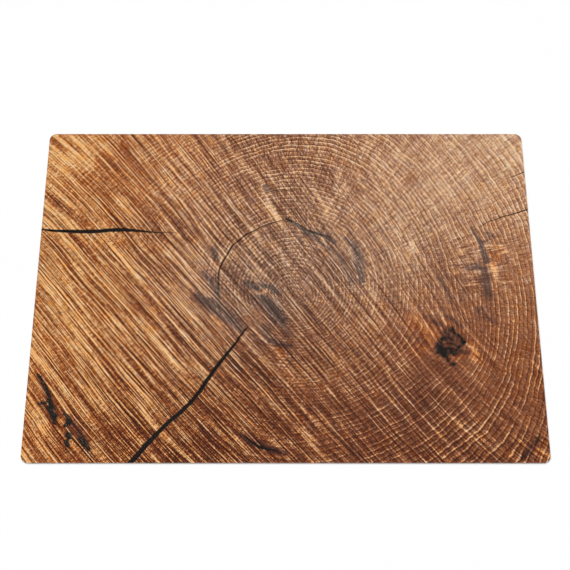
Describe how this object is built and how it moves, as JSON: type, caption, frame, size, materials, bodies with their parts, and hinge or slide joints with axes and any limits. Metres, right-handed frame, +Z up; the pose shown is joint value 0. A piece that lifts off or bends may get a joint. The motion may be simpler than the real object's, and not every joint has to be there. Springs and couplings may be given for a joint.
{
  "type": "chair mat",
  "caption": "Flat rectangular mat with rounded corners, a wood slab print under a clear wear layer and a foam grip backing, laid under a desk chair to protect the floor",
  "frame": {"origin": "centre of the underside, on the floor", "axes": "+X along the long side, +Y along the short side away from the person at the front edge, +Z up"},
  "size_m": [1.2, 0.9, 0.003],
  "materials": {
    "backing_foam": "pale grey closed-cell vinyl foam, embossed with low round grips on the underside",
    "glass_fleece": "off-white glass fibre fleece, soaked with vinyl",
    "core_foam": "fine off-white vinyl foam, seen only as a line in the cut edge",
    "wood_print": "printed end-grain wood slab: golden to dark red-brown with growth rings, saw marks and cracks",
    "clear_wear": "clear satin vinyl with a very fine embossed grain"
  },
  "bodies": {
    "root": {"grip_backing": "backing_foam", "glass_fleece": "glass_fleece", "foam_core": "core_foam", "printed_film": "wood_print", "wear_layer": "clear_wear"}
  },
  "joints": []
}
